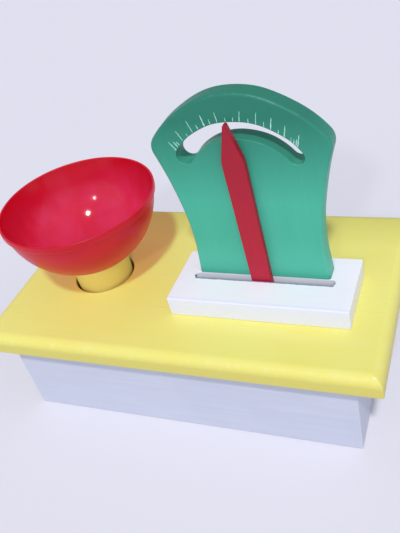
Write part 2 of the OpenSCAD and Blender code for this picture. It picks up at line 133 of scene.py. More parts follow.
def studio():
    """A pale floor, a pale room, a key light, a small second one and two broad fills. The key is two
    lamps in one place, so that the bowl can let the red one through. Returns the red one."""
    world = bpy.data.worlds.new("room")
    bpy.context.scene.world = world
    world.use_nodes = True
    air = world.node_tree.nodes["Background"]
    air.inputs["Color"].default_value = (0.86, 0.90, 1.0, 1)
    air.inputs["Strength"].default_value = 0.45
    lamp("key", FROM_KEY, KEY_ANGLE, 1.64, (0.555, 1.0, 0.949))
    red_key = lamp("red_key", FROM_KEY, KEY_ANGLE, 0.94, (1.0, 0.19, 0.235))
    lamp("second", FROM_SECOND, 4, 0.40, (1.0, 0.99, 0.97))
    lamp("window", FROM_WINDOW, 50, 0.22, (0.85, 0.92, 1.0))
    lamp("fill", FROM_FILL, 70, 0.30, (0.92, 0.95, 1.0))
    bpy.context.scene.view_settings.view_transform = "Standard"
    mesh = bpy.data.meshes.new("floor")
    signs = ((-1, -1), (1, -1), (1, 1), (-1, 1))
    mesh.from_pydata([(x * FLOOR_REACH, y * FLOOR_REACH, 0) for x, y in signs], [], [(0, 1, 2, 3)])
    obj = bpy.data.objects.new("floor", mesh)
    obj.location.z = cad_lo.z - FLOOR_DROP
    bpy.context.scene.collection.objects.link(obj)
    paper = Shader("pale_floor", {"Roughness": 0.9, "Specular IOR Level": 0.1})
    paper.colour(paper.mix(paper.noise(3, 2), (0.72, 0.715, 0.80), (0.74, 0.735, 0.82)))
    obj.data.materials.append(paper.material)
    return red_key


def let_through(light, obj):
    """This light isn't stopped by this object."""
    passed = bpy.data.collections.new("passed_by_" + light.name)
    passed.objects.link(obj)
    light.light_linking.blocker_collection = passed
    passed.collection_objects[0].light_linking.link_state = "EXCLUDE"


# ---- Materials ----

class Shader:
    """A node material in the making. Each method adds nodes and returns the socket they end in."""

    def __init__(self, name, fixed=None):
        self.material = bpy.data.materials.new(name)
        self.material.use_nodes = True
        self.tree = self.material.node_tree
        self.bsdf = next(n for n in self.tree.nodes if n.type == "BSDF_PRINCIPLED")
        for socket, value in (fixed or {}).items():
            self.bsdf.inputs[socket].default_value = value
        self.place = self.tree.nodes.new("ShaderNodeTexCoord").outputs["Object"]

    def put(self, socket, value):
        """Links a socket, or sets a plain number or colour."""
        if isinstance(value, bpy.types.NodeSocket):
            self.tree.links.new(value, socket)
        elif isinstance(value, tuple) and len(value) == 3 and socket.type == "RGBA":
            socket.default_value = (*value, 1)
        else:
            socket.default_value = value

    def colour(self, value):
        self.put(self.bsdf.inputs["Base Color"], value)

    def roughness(self, value):
        self.put(self.bsdf.inputs["Roughness"], value)

    def normal(self, value):
        self.put(self.bsdf.inputs["Normal"], value)

    def scaled(self, scale, shift=(0, 0, 0)):
        """Object coordinates stretched along the axes."""
        node = self.tree.nodes.new("ShaderNodeMapping")
        self.put(node.inputs["Vector"], self.place)
        node.inputs["Scale"].default_value = scale
        node.inputs["Location"].default_value = shift
        return node.outputs["Vector"]

    def noise(self, scale, detail=2.0, stretch=None, distortion=0.0, shift=(0, 0, 0)):
        """Soft noise, from 0 to 1 about 0.5. stretch gives each axis its own scale instead."""
        node = self.tree.nodes.new("ShaderNodeTexNoise")
        self.put(node.inputs["Vector"], self.scaled(stretch or (scale,) * 3, shift))
        node.inputs["Scale"].default_value = 1
        node.inputs["Detail"].default_value = detail
        node.inputs["Distortion"].default_value = distortion
        return node.outputs["Fac"]

    def spread(self, value, low, high, to_low=0.0, to_high=1.0):
        """Maps low..high onto to_low..to_high, with both ends held."""
        node = self.tree.nodes.new("ShaderNodeMapRange")
        self.put(node.inputs["Value"], value)
        node.inputs["From Min"].default_value = low
        node.inputs["From Max"].default_value = high
        node.inputs["To Min"].default_value = to_low
        node.inputs["To Max"].default_value = to_high
        return node.outputs["Result"]

    def math(self, kind, a, b=0.0):
        """One step of arithmetic."""
        node = self.tree.nodes.new("ShaderNodeMath")
        node.operation = kind
        self.put(node.inputs[0], a)
        self.put(node.inputs[1], b)
        return node.outputs["Value"]

    def mix(self, factor, a, b):
        """Colour a where factor is 0, and colour b where it is 1."""
        node = self.tree.nodes.new("ShaderNodeMix")
        node.data_type = "RGBA"
        self.put(node.inputs["Factor"], factor)
        self.put(node.inputs[6], a)
        self.put(node.inputs[7], b)
        return node.outputs[2]

    def attribute(self, name):
        """A value that the mesh stores at its points."""
        node = self.tree.nodes.new("ShaderNodeAttribute")
        node.attribute_name = name
        return node.outputs["Fac"]

    def axis(self, index):
        """One object coordinate: 0 is X, 1 is Y and 2 is Z."""
        node = self.tree.nodes.new("ShaderNodeSeparateXYZ")
        self.put(node.inputs[0], self.place)
        return node.outputs[index]

    def distance(self, point):
        """How far each spot is from a point."""
        node = self.tree.nodes.new("ShaderNodeVectorMath")
        node.operation = "DISTANCE"
        self.put(node.inputs[0], self.place)
        node.inputs[1].default_value = point
        return node.outputs["Value"]

    def near(self, point, reach):
        """1 close to a point, falling to 0 at about reach, with a ragged edge."""
        uneven = self.spread(self.noise(900, 3), 0.3, 0.7, 0, reach)
        ragged = self.math("ADD", self.distance(point), uneven)
        return self.spread(ragged, reach * 1.2, reach)

    def bump(self, height, distance, under=None):
        """The normals of a relief that is distance high, laid over another relief."""
        node = self.tree.nodes.new("ShaderNodeBump")
        node.inputs["Distance"].default_value = distance
        self.put(node.inputs["Height"], height)
        if under is not None:
            self.put(node.inputs["Normal"], under)
        return node.outputs["Normal"]


# How much of a fade's colour covers what is under it, where the fade is full.
FADE_COVERS = 0.88


def along(axis, fine, coarse):
    """Scales for a texture that is fine across one axis and drawn out along it."""
    return tuple(coarse if i == axis else fine for i in range(3))


def paint(name, main, deep, light, worn, axis=0, gloss=0.42, fades=(), chips_and_highlights=(), rub=0.15, grime_and_shade=None,
          line=None, relief=1.0):
    """Satin paint brushed by hand along one axis of a wooden board. main and deep mottle together,
    light tops the brush ridges and worn shows a little on rubbed edges. Each fade is (axis, from, to,
    colour); the callers use them for painted shade and painted light. Each chip is (point, reach,
    colour): a chip, dirt or a painted highlight. The grime darkens what "rim" marks, with dirt and
    painted shade, and the line is (x from, x to, y, half width, colour) of a dark line of painted shade
    and dirt. relief scales the brush marks' height."""
    s = Shader(name, {"Specular IOR Level": 0.32})
    strokes = s.noise(1, 4, along(axis, 520, 11), 0.3)
    wide_strokes = s.noise(1, 2, along(axis, 110, 7), 0.5, (3, 1, 2))
    mottle = s.noise(17, 3)
    grain = s.noise(1, 5, along(axis, 260, 3.5), 1.2, (1, 5, 3))
    peel = s.noise(1500, 2)
    tone = s.mix(s.spread(mottle, 0.35, 0.68), main, deep)
    tone = s.mix(s.spread(wide_strokes, 0.5, 0.75, 0, 0.22), tone, light)
    tone = s.mix(s.spread(strokes, 0.52, 0.8, 0, 0.3), tone, light)
    tone = s.mix(s.spread(grain, 0.6, 0.75, 0, 0.25), tone, deep)
    for at, start, end, colour in fades:
        tone = s.mix(s.spread(s.axis(at), start, end, 0, FADE_COVERS), tone, colour)
    rubbed = s.math("MULTIPLY", s.attribute("edge"), s.spread(s.noise(190, 4), 0.52, 0.66))
    tone = s.mix(s.math("MULTIPLY", rubbed, rub), tone, worn)
    for point, reach, colour in chips_and_highlights:
        tone = s.mix(s.near(point, reach), tone, colour)
    # The rim's darkening is dirt, and painted shade where it runs along a slot's front edge.
    if grime_and_shade:
        dirt_and_shade = s.math("MULTIPLY", s.attribute("rim"), s.spread(s.noise(420, 3), 0.30, 0.55, 0.35, 1))
        tone = s.mix(dirt_and_shade, tone, grime_and_shade)
    # The line is painted shade with some dirt.
    if line:
        start, end, at, half_width, colour = line
        off = s.math("ABSOLUTE", s.math("SUBTRACT", s.axis(1), at))
        within = s.math("MULTIPLY", s.spread(s.axis(0), start, start + MM),
                        s.spread(s.axis(0), end, end - MM))
        ragged = s.math("ADD", off, s.spread(s.noise(300, 3), 0.3, 0.7, -0.2 * MM, 0.3 * MM))
        soiled = s.math("MULTIPLY", within, s.spread(ragged, half_width * 1.5, half_width * 0.8))
        tone = s.mix(soiled, tone, colour)
    s.colour(tone)
    shine = s.math("ADD", s.spread(strokes, 0.3, 0.7, -0.07, 0.07), s.spread(mottle, 0.3, 0.7, -0.05, 0.06))
    s.roughness(s.math("ADD", shine, gloss))
    marks = s.bump(grain, 0.00022 * relief)
    marks = s.bump(strokes, 0.00010 * relief, marks)
    marks = s.bump(wide_strokes, 0.0002 * relief, marks)
    s.normal(s.bump(peel, 0.00002, marks))
    return s.material


def raw_wood(name, light, dark, axis=0):
    """Sanded plywood or pine: growth bands drawn out along one axis, pores and a little fuzz."""
    s = Shader(name, {"Specular IOR Level": 0.3})
    bands = s.noise(1, 3, along(axis, 150, 4), 2.2)
    pores = s.noise(1, 4, along(axis, 1400, 30), 0.4)
    cloud = s.noise(12, 2)
    tone = s.mix(s.spread(bands, 0.38, 0.62), light, dark)
    tone = s.mix(s.spread(pores, 0.6, 0.75, 0, 0.5), tone, tuple(c * 0.55 for c in dark))
    tone = s.mix(s.spread(cloud, 0.4, 0.7, 0, 0.3), tone, light)
    s.colour(tone)
    s.roughness(s.spread(bands, 0.3, 0.7, 0.62, 0.8))
    s.normal(s.bump(pores, 0.00008, s.bump(bands, 0.00012)))
    return s.material


def metal(name, bright, dull, axis, rough=0.32):
    """Turned or drawn metal with fine lines along one axis and a patchy film."""
    s = Shader(name, {"Metallic": 1.0})
    lines = s.noise(1, 3, along(axis, 2600, 60))
    film = s.noise(160, 3)
    s.colour(s.mix(s.spread(film, 0.35, 0.7), bright, dull))
    drawn = s.spread(lines, 0.3, 0.7, rough, rough + 0.08)
    s.roughness(s.math("ADD", s.spread(film, 0.3, 0.7, -0.05, 0.12), drawn))
    s.normal(s.bump(lines, 0.000015))
    return s.material


def soft_stuff(name, light, dark, grain_size, depth, fixed):
    """Rubber or felt: a matt surface with a close grain."""
    s = Shader(name, fixed)
    grain = s.noise(grain_size, 5)
    s.colour(s.mix(s.spread(grain, 0.35, 0.65), light, dark))
    s.roughness(s.spread(grain, 0.3, 0.7, 0.75, 0.95))
    s.normal(s.bump(grain, depth))
    return s.material


def plastic(centre, radius):
    """Moulded red plastic: faintly cloudy, a little see-through, with hairline scratches. Its pinker
    patches are partly cloud in the plastic and partly painted reflection. Glossy inside, where painted
    shade darkens it towards the rim, and duller outside, which lies at radius."""
    s = Shader("red_moulded_plastic", {
        "Specular IOR Level": 0.26, "Subsurface Weight": 0.9, "Subsurface Scale": 0.02,
        "Subsurface Radius": (1.0, 0.03, 0.025)})
    cloud = s.noise(26, 3, distortion=0.6)
    flow = s.noise(1, 3, along(2, 60, 9), 0.8, (2, 2, 4))
    scratches = s.noise(1, 3, (2400, 2400, 60), 0.5)
    patches = s.spread(cloud, 0.35, 0.68)
    # Partly painted reflection: the pinker patches stand in for soft reflections of the bright room, and
    # partly cloud in the plastic.
    tone = s.mix(patches, (0.575, 0.018, 0.072), (0.66, 0.042, 0.145))
    tone = s.mix(s.spread(flow, 0.45, 0.75, 0, 0.4), tone, (0.50, 0.008, 0.036))
    # Painted shade: the inside darkens towards the rim, where less light falls.
    tone = s.mix(s.spread(s.axis(2), centre[2] - 35 * MM, centre[2] - 4 * MM), tone, (0.40, 0.005, 0.024))
    outside = s.spread(s.distance(centre), radius - 0.08 * MM, radius - 0.04 * MM)
    s.colour(s.mix(outside, tone, s.mix(patches, (0.50, 0.005, 0.020), (0.56, 0.010, 0.034))))
    gloss = s.spread(outside, 0, 1, 0.09, 0.30)
    worn = s.math("ADD", s.spread(cloud, 0.3, 0.7, 0, 0.05), s.spread(scratches, 0.6, 0.8, 0, 0.08))
    s.roughness(s.math("ADD", gloss, worn))
    s.normal(s.bump(scratches, 0.000006, s.bump(flow, 0.0002)))
    return s.material


def stroke_paint():
    """Thin pale paint put on with a dry brush, so that the green shows through its streaks."""
    s = Shader("pale_brush_paint", {"Specular IOR Level": 0.4})
    streaks = s.noise(1, 4, along(2, 1500, 160), 0.6)
    patches = s.noise(420, 3)
    thin = s.math("MAXIMUM", s.spread(streaks, 0.56, 0.7), s.spread(patches, 0.58, 0.72))
    s.colour(s.mix(s.math("MULTIPLY", thin, 0.6), STROKE_WHITE, GREEN_UNDER_STROKES))
    s.roughness(s.spread(streaks, 0.3, 0.7, 0.4, 0.6))
    s.normal(s.bump(streaks, 0.00008))
    return s.material


# The colours of each paint. Each group of four is in the order that paint() takes: main, deep, light
# and worn.
YELLOWS = ((0.82, 0.78, 0.217), (0.82, 0.75, 0.185), (0.83, 0.79, 0.30), (0.86, 0.82, 0.55))
# Painted shade: the yellow darkens towards the board's back edge, where the key light falls off.
PAINTED_SHADE_YELLOW_AT_THE_BACK = (0.62, 0.57, 0.13)
# Painted shade: the yellow darkens down the board's rounded edges and sides, which face away from the
# light.
PAINTED_SHADE_YELLOW_LOW_DOWN = (0.64, 0.57, 0.13)
# Painted highlight: a near-white spot where the two rounded edges meet at the board's front right corner.
PAINTED_HIGHLIGHT_WHITE = (0.9, 0.9, 0.88)

# Painted shade: the box's white is darker and bluer than the block's, partly a greyer paint and partly
# shade for the dim light on the box's sides.
BOX_WHITES_WITH_PAINTED_SHADE = ((0.555, 0.585, 0.71), (0.53, 0.56, 0.69), (0.65, 0.68, 0.78), (0.66, 0.62, 0.56))
BLOCK_WHITES = ((0.87, 0.88, 0.955), (0.84, 0.85, 0.935), (0.89, 0.90, 0.965), (0.62, 0.60, 0.55))
# Painted light: the block's front face is painted bluer, to cancel the yellow light bounced onto it from
# the board.
BLOCK_FRONT_PAINTED_AGAINST_BOUNCE = (0.76, 0.79, 1.0)
# The first darkens the slot's rim: dirt at its chipped ends, painted shade with some dirt along its front
# edge. The second is a dark blue line of painted shade with some dirt along that edge.
GRIME_AND_PAINTED_SHADE = (0.09, 0.10, 0.15)
SLOT_EDGE_SHADE_AND_DIRT = (0.20, 0.24, 0.38)

GREENS = ((0.062, 0.46, 0.33), (0.055, 0.43, 0.31), (0.085, 0.51, 0.38), (0.30, 0.40, 0.38))
# Painted shade: the dial's green darkens towards its top, where the key light falls off.
PAINTED_SHADE_GREEN = (0.013, 0.165, 0.112)
# Painted light: the green is paler near the dial's foot, for light bounced from the white block and yellow
# board.
PAINTED_BOUNCE_LIGHT_GREEN = (0.086, 0.507, 0.36)
STROKE_WHITE = (0.42, 0.76, 0.68)
GREEN_UNDER_STROKES = (0.05, 0.36, 0.26)

REDS = ((0.47, 0.010, 0.040), (0.42, 0.007, 0.030), (0.54, 0.020, 0.065), (0.20, 0.02, 0.03))
# Painted shade: the pointer's red darkens towards its top, where the key light falls off.
PAINTED_SHADE_RED_AT_THE_TOP = (0.33, 0.006, 0.024)
SOILED_TIP = (0.05, 0.008, 0.012)


# ---- Shape helpers ----

def arc(centre, radius, start, end, steps):
    """Points along an arc, from one angle to another in degrees."""
    angles = [math.radians(start + (end - start) * i / steps) for i in range(steps + 1)]
    return [Vector((centre[0] + radius * math.cos(a), centre[1] + radius * math.sin(a))) for a in angles]


def filleted(corners, radius, steps=5):
    """A closed outline through these corners, each rounded."""
    out = []
    for i, corner in enumerate(corners):
        before = (corners[i - 1] - corner).normalized()
        after = (corners[(i + 1) % len(corners)] - corner).normalized()
        half = before.angle(after) / 2
        reach = radius / math.tan(half)
        start = corner + before * reach
        centre = corner + (before + after).normalized() * (radius / math.sin(half))
        turn = math.pi - 2 * half
        if before.x * after.y - before.y * after.x > 0:
            turn = -turn
        spoke = start - centre
        for k in range(steps + 1):
            out.append(centre + Matrix.Rotation(turn * k / steps, 2) @ spoke)
    return out


def moved_in(points, distance):
    """An outline moved towards its left side, which is into the wood."""
    out = []
    for i, p in enumerate(points):
        before = (p - points[i - 1]).normalized()
        after = (points[(i + 1) % len(points)] - p).normalized()
        n0 = Vector((-before.y, before.x))
        n1 = Vector((-after.y, after.x))
        out.append(p + (n0 + n1) * (distance / (1 + n0.dot(n1))))
    return out


def evened(points, step):
    """The outline with points added on its long straight runs, so that none is longer than step."""
    out = []
    for i, p in enumerate(points):
        following = points[(i + 1) % len(points)]
        count = max(1, math.ceil((following - p).length / step))
        out.extend(p.lerp(following, k / count) for k in range(count))
    return out


def wavy(points, amount, wavelength, seed):
    """The outline with the slow wander of a hand-sawn and hand-sanded edge."""
    out = []
    for i, p in enumerate(points):
        run = (points[(i + 1) % len(points)] - points[i - 1]).normalized()
        shift = noise.noise(Vector((p.x, p.y, seed)) / wavelength) * amount
        out.append(p + Vector((-run.y, run.x)) * shift)
    return out


def without_doubles(points):
    """The outline with each point left out that nearly repeats the one before it."""
    return [p for i, p in enumerate(points) if (p - points[i - 1]).length > 0.06 * MM]


# How strongly large faces lead the shading, where 50 is neutral, and how close two points are to be one.
FLAT_FACE_WEIGHT = 80
SAME_POINT = 1e-7


def finished(name, bm, material):
    """The bmesh as an object with its material and slot."""
    bmesh.ops.remove_doubles(bm, verts=bm.verts, dist=SAME_POINT)
    bmesh.ops.recalc_face_normals(bm, faces=bm.faces)
    mesh = bpy.data.meshes.new(name)
    bm.to_mesh(mesh)
    bm.free()
    mesh.polygons.foreach_set("use_smooth", [True] * len(mesh.polygons))
    mesh.materials.append(material)
    obj = bpy.data.objects.new(name, mesh)
    bpy.context.scene.collection.objects.link(obj)
    weights = obj.modifiers.new("flat_faces_lead", "WEIGHTED_NORMAL")
    weights.weight = FLAT_FACE_WEIGHT
    return obj


# A flat strip beside each rounded edge keeps its shading crisp. Each edge is rounded in a few steps.
GUARD = 0.3 * MM
ROUND_STEPS = 5


def wall_rings(low, high, low_round, high_round):
    """(inset, depth, edge) of each ring up one wall, from the lower face over both rounded edges."""
    rings = [(low_round + GUARD, low, 0.0)]
    turns = [math.pi / 2 * k / ROUND_STEPS for k in range(ROUND_STEPS + 1)]
    for t in turns:
        rings.append((low_round * (1 - math.sin(t)), low + low_round * (1 - math.cos(t)), math.sin(2 * t)))
    for t in turns:
        inset, depth = high_round * (1 - math.cos(t)), high - high_round * (1 - math.sin(t))
        rings.append((inset, depth, math.sin(2 * t)))
    rings.append((high_round + GUARD, high, 0.0))
    return rings


# How delaunay_2d_cdt is to fill the outlines, and how close two points are to be one, in millimetres.
TRIANGLES_INSIDE = 1
MERGE_WITHIN = 1e-6


def is_inside(point, loop):
    """Whether a closed loop goes round a point, told by how often a ray to the right crosses it."""
    inside = False
    for a, b in zip(loop, loop[1:] + loop[:1]):
        if (a.y > point.y) != (b.y > point.y):
            if point.x < a.x + (b.x - a.x) * (point.y - a.y) / (b.y - a.y):
                inside = not inside
    return inside


def cap_triangles(loops):
    """Index triples that fill the space between the outer loop and the holes. Worked in
    millimetres, because the triangulation needs numbers well above its tolerance."""
    loops = [[p / MM for p in loop] for loop in loops]
    points = [p for loop in loops for p in loop]
    edges = []
    start = 0
    for loop in loops:
        count = len(loop)
        edges.extend((start + i, start + (i + 1) % count) for i in range(count))
        start += count
    result = delaunay_2d_cdt(points, edges, [], TRIANGLES_INSIDE, MERGE_WITHIN)
    sources = [origin[0] for origin in result[3]]
    triangles = [[sources[i] for i in face] for face in result[2]]
    kept = []
    for a, b, c in triangles:
        middle = (points[a] + points[b] + points[c]) / 3
        if not any(is_inside(middle, hole) for hole in loops[1:]):
            kept.append((a, b, c))
    return kept


def plate(name, outlines, low, high, place, material):
    """A board between two depths with rounded edges. outlines holds (loop at an inset, lower round,
    upper round, the rim's darkening at a point by dirt and painted shade, or None), the outer one
    anticlockwise and the holes clockwise. place makes 3-D points."""
    bm = bmesh.new()
    edge = bm.verts.layers.float.new("edge")
    rim = bm.verts.layers.float.new("rim")
    caps = ([], [])
    for loop_at, low_round, high_round, dirt_and_shade_at in outlines:
        rings = []
        for inset, depth, sharp in wall_rings(low, high, low_round, high_round):
            ring = []
            for p in loop_at(inset):
                v = bm.verts.new(place(p.x, p.y, depth))
                v[edge] = max(0.0, sharp)
                at_rim = dirt_and_shade_at and high - 1.2 * high_round < depth and inset < high_round
                v[rim] = dirt_and_shade_at(p) if at_rim else 0.0
                ring.append(v)
            rings.append(ring)
        for a, b in zip(rings, rings[1:]):
            for i in range(len(a)):
                j = (i + 1) % len(a)
                bm.faces.new((a[i], a[j], b[j], b[i]))
        caps[0].append((loop_at(low_round + GUARD), rings[0]))
        caps[1].append((loop_at(high_round + GUARD), rings[-1]))
    for cap in caps:
        verts = [v for loop, ring in cap for v in ring]
        for triangle in cap_triangles([loop for loop, ring in cap]):
            bm.faces.new([verts[i] for i in triangle])
    return finished(name, bm, material)


def flat_place(x, y, depth):
    """For a board that lies down: its depth is a height."""
    return (x, y, depth)


def upright_place(x, z, depth):
    """For a board that stands across the object: its depth is along Y."""
    return (x, depth, z)


def endwise_place(y, z, depth):
    """For a board that stands along the object: its depth is along X."""
    return (depth, y, z)


def fixed_loop(points):
    """An outline as a function of its inset."""
    return lambda inset: moved_in(points, inset)


def rectangle(x0, y0, x1, y1):
    """Its four corners, anticlockwise."""
    return [Vector((x0, y0)), Vector((x1, y0)), Vector((x1, y1)), Vector((x0, y1))]


def circle_hole(x, y, radius, steps=96):
    """A round hole's outline, clockwise."""
    return arc((x, y), radius, 360, 360 / steps, steps - 1)


def lathe(name, profile, centre, material, steps=144):
    """A turned piece about a vertical axis, from its profile of (radius, height)."""
    bm = bmesh.new()
    rings = []
    for radius, height in profile:
        if radius < SAME_POINT:
            rings.append([bm.verts.new((centre.x, centre.y, height))])
            continue
        rings.append([
            bm.verts.new((centre.x + radius * math.cos(a), centre.y + radius * math.sin(a), height))
            for a in (2 * math.pi * i / steps for i in range(steps))])
    for a, b in zip(rings, rings[1:]):
        for i in range(steps):
            j = (i + 1) % steps
            corners = [a[i % len(a)], a[j % len(a)], b[j % len(b)], b[i % len(b)]]
            unique = [v for k, v in enumerate(corners) if v is not corners[k - 1]]
            if len(unique) > 2:
                bm.faces.new(unique)
    return finished(name, bm, material)


# ---- Places from the CAD ----

board_lo, board_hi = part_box("top_board")
block_lo, block_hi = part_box("slot_block")
dial_lo, dial_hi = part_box("dial_board")
pointer_lo, pointer_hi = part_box("pointer")
bowl_lo, bowl_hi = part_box("bowl")
post_lo, post_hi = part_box("post")
bush_lo, bush_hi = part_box("hub_bush")

dial_x = (dial_lo.x + dial_hi.x) / 2

# The numbers here repeat the CAD's own. First the window: the centres and radii of its upper and lower
# arcs, and the directions of its ends in degrees.
window_centre = Vector((61.2 * MM, block_hi.z + 74.5 * MM))
lower_arc_centre = window_centre + Vector((0.8 * MM, -1.6 * MM))
WINDOW_UPPER = 54.4 * MM
WINDOW_LOWER = 43.7 * MM
WINDOW_LEFT = 90 + 52
WINDOW_RIGHT = 90 - 55.1

# Then the pivot, the bowl, the holes and the slot.
HOLE_RADIUS = 25.5 * MM
HUB_BORE = 5 * MM
pivot = Vector(((bush_lo.x + bush_hi.x) / 2, (bush_lo.z + bush_hi.z) / 2))
bowl_axis = Vector(((bowl_lo.x + bowl_hi.x) / 2, (bowl_lo.y + bowl_hi.y) / 2))
BOWL_OUTSIDE = 61.6 * MM
BOWL_INSIDE = 59.4 * MM
bowl_centre_z = bowl_lo.z + BOWL_OUTSIDE
slot_centre = Vector((62.5 * MM, (pointer_lo.y + dial_lo.y) / 2 - 0.3 * MM))
SLOT_LONG = 109 * MM
SLOT_WIDE = dial_lo.y - pointer_lo.y + 0.6 * MM


# ---- The board and the box ----

def slot_outline(chipped):
    """The slot's outline, clockwise, with round ends. chipped breaks its left end."""
    reach = (SLOT_LONG - SLOT_WIDE) / 2
    r = SLOT_WIDE / 2
    x, y = slot_centre
    chip_size, chips_reach, ragged_by = 1.9 * MM, 9 * MM, 0.10
    right = arc((x + reach, y), r, 90, -90, 10)
    left = arc((x - reach, y), r, 270, 90, 10)
    points = without_doubles(evened(right + left, 1.6 * MM))
    if not chipped:
        return points
    out = []
    for i, p in enumerate(points):
        run = (points[(i + 1) % len(points)] - points[i - 1]).normalized()
        into = Vector((-run.y, run.x))
        ragged = noise.noise(Vector((p.x, p.y, 0)) / chip_size + Vector((0, 0, 0.4)))
        near_left = max(0.0, 1 - (p.x - (x - SLOT_LONG / 2)) / chips_reach)
        depth = ragged_by + 1.5 * near_left * max(0.0, ragged + 0.15) if p.y < y else 0.0
        out.append(p + into * depth * MM)
    return out


def board():
    """The yellow board: its top edges are routed round, and creased where they meet."""
    half = (board_hi - board_lo) / 2
    middle = (board_lo + board_hi) / 2
    corner = 1.6 * MM

    def outer(inset):
        x, y = half.x - inset, half.y - inset
        r = max(corner - inset, 0.35 * MM)
        return filleted(rectangle(middle.x - x, middle.y - y, middle.x + x, middle.y + y), r, 4)

    # Painted shade: darker towards the back edge and down the rounded edges and sides.
    fades = [(1, 45 * MM, board_hi.y, PAINTED_SHADE_YELLOW_AT_THE_BACK),
             (2, board_hi.z - 0.2 * MM, board_hi.z - 7 * MM, PAINTED_SHADE_YELLOW_LOW_DOWN)]
    # Painted highlight at the front right corner, where the rounded edges meet.
    highlight_at = (board_hi.x - 6 * MM, board_lo.y + 5 * MM, board_hi.z - 2 * MM)
    yellow = paint("yellow_brushed_paint", *YELLOWS, gloss=0.36, relief=0.35, fades=fades,
                   chips_and_highlights=[(highlight_at, 1.8 * MM, PAINTED_HIGHLIGHT_WHITE)])
    obj = plate("yellow_board", [
        (outer, 0.8 * MM, 8 * MM, None),
        (fixed_loop(circle_hole(bowl_axis.x, bowl_axis.y, HOLE_RADIUS)), 0.6 * MM, 0.7 * MM, None),
        (fixed_loop(slot_outline(False)), 0.4 * MM, 0.4 * MM, None),
    ], board_lo.z, board_hi.z, flat_place, yellow)
    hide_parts("top_board")
    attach(obj, "case")
    return yellow


def panel(node, place, across, deep, material):
    """One side of the box, with softened edges. across and deep are the axes of its face and depth."""
    lo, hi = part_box(node)
    a, b = across
    outline = filleted(rectangle(lo[a], lo[b], hi[a], hi[b]), 1.4 * MM, 4)
    outline = wavy(evened(outline, 12 * MM), 0.12 * MM, 40 * MM, deep + lo[deep] * 9)
    obj = plate(node + "_painted", [(fixed_loop(outline), 0.8 * MM, 0.8 * MM, None)],
                lo[deep], hi[deep], place, material)
    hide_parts(node)
    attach(obj, "case")


def box_panels():
    """The four sides of the box, brushed along their length."""
    # Painted shade, in part: the box's white is darker and bluer than the block's.
    across = paint("white_brushed_paint", *BOX_WHITES_WITH_PAINTED_SHADE, axis=0)
    endwise = paint("white_end_paint", *BOX_WHITES_WITH_PAINTED_SHADE, axis=1)
    for node in ("front_panel", "back_panel"):
        panel(node, upright_place, (0, 2), 1, across)
    for node in ("left_panel", "right_panel"):
        panel(node, endwise_place, (1, 2), 0, endwise)


def slot_dirt_and_shade(p):
    """How dark the slot's rim is: a faint line of painted shade with some dirt along its front edge,
    and dirt at its ends, most at the chipped left one.
    """
    if p.y > slot_centre.y:
        return 0.0
    left_reach, right_reach, along_front = 7 * MM, 3 * MM, 0.45
    from_left = (p.x - slot_centre.x + SLOT_LONG / 2) / left_reach
    from_right = (slot_centre.x + SLOT_LONG / 2 - p.x) / right_reach
    return max(along_front, 1 - from_left, 0.9 - from_right)


def block():
    """The white block: crisp painted edges, and a slot with a chipped rim, grubby at its ends and darkened
    by painted shade with some dirt along its front edge. Its front face is painted bluer against the
    yellow light bounced from the board.
    """
    outline = filleted(rectangle(block_lo.x, block_lo.y, block_hi.x, block_hi.y), 1.3 * MM, 4)
    outline = wavy(evened(outline, 9 * MM), 0.16 * MM, 30 * MM, 2.0)
    # Painted shade with some dirt: a dark blue line along the slot's front edge.
    line = (slot_centre.x - SLOT_LONG / 2, slot_centre.x + SLOT_LONG / 2,
            slot_centre.y - SLOT_WIDE / 2 - 0.5 * MM, 0.8 * MM, SLOT_EDGE_SHADE_AND_DIRT)
    # Painted light: the fade makes the front face bluer, against the yellow light bounced from the board.
    white = paint("white_block_paint", *BLOCK_WHITES, gloss=0.4, grime_and_shade=GRIME_AND_PAINTED_SHADE, relief=0.45, line=line,
                  fades=[(1, block_lo.y + 4 * MM, block_lo.y + 0.5 * MM, BLOCK_FRONT_PAINTED_AGAINST_BOUNCE)])
    obj = plate("white_block", [
        (fixed_loop(outline), 0.5 * MM, 0.9 * MM, None),
        (fixed_loop(slot_outline(True)), 0.3 * MM, 0.45 * MM, slot_dirt_and_shade),
    ], block_lo.z, block_hi.z, flat_place, white)
    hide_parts("slot_block")
    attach(obj, "case")


# ---- The dial board ----

def dial_outline():
    """The outline from the right foot up over the crown to the left foot: hollow flanks, round ears,
    and a crown that flattens into a brow on each side. Its numbers repeat the CAD's own."""
    foot, waist, waist_z = 51.2 * MM, 49.3 * MM, 26.1 * MM
    flank, ear = 247 * MM, (dial_hi.x - dial_lo.x) / 2
    ear_r, ear_z = 12.2 * MM, 109.4 * MM
    crown, crown_angle = 61.5 * MM, 23
    height = dial_hi.z - dial_lo.z
    ear_at = Vector((ear - ear_r, ear_z))
    turn = math.degrees(math.asin((ear_z - waist_z) / (flank + ear_r)))
    crown_at = Vector((0, height - crown))
    spoke = Vector((math.sin(math.radians(crown_angle)), math.cos(math.radians(crown_angle))))
    reach = ear_at - crown_at
    along_spoke = reach.dot(spoke)
    brow = (ear_r ** 2 - reach.dot(reach) + 2 * crown * along_spoke - crown ** 2) / (
        2 * (along_spoke - crown + ear_r))
    brow_at = crown_at + (crown - brow) * spoke
    lean = math.degrees(math.atan2(ear_at.y - brow_at.y, ear_at.x - brow_at.x))
    right = (
        [Vector((foot, 0))]
        + arc((waist + flank, waist_z), flank, 180, 180 - turn, 24)
        + arc(ear_at, ear_r, -turn, lean, 16)
        + arc(brow_at, brow, lean, 90 - crown_angle, 14)
        + arc(crown_at, crown, 90 - crown_angle, 90, 12)
    )
    left = [Vector((-p.x, p.y)) for p in reversed(right)]
    here = Vector((dial_x, dial_lo.z))
    return without_doubles([p + here for p in right + left])


